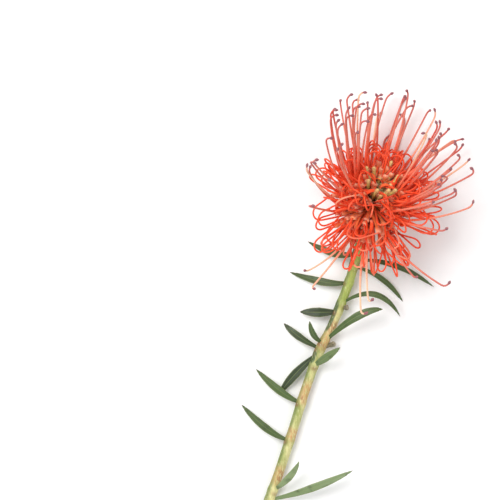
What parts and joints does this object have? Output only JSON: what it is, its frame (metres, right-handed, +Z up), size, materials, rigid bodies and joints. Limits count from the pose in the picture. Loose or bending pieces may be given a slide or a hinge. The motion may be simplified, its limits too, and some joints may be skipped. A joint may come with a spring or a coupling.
{
  "type": "pincushion protea flower, one cut stem",
  "caption": "Cut pincushion protea lying on its side: domed orange-red bloom of looped and pin-headed styles on a leafy stem.",
  "frame": {"origin": "centre of the part's outline on the surface that it lies on", "axes": "+Z up from the surface; the stem runs along Y, with its cut end towards -Y and the bloom towards +Y; +X is to the right seen from above"},
  "size_m": [0.141, 0.2706, 0.0911],
  "materials": {
    "stem": "satin",
    "leaf": "satin",
    "bract": "matte",
    "floret": "satin",
    "bud": "matte"
  },
  "bodies": {
    "root": {"stem": "stem", "involucre": "bract", "florets": "floret", "centre_buds": "bud", "leaf_01": "leaf", "leaf_02": "leaf", "leaf_03": "leaf", "leaf_04": "leaf", "leaf_05": "leaf", "leaf_06": "leaf", "leaf_07": "leaf", "leaf_08": "leaf", "leaf_09": "leaf", "leaf_10": "leaf", "leaf_11": "leaf", "leaf_12": "leaf", "leaf_13": "leaf", "leaf_14": "leaf", "leaf_15": "leaf"}
  },
  "joints": []
}
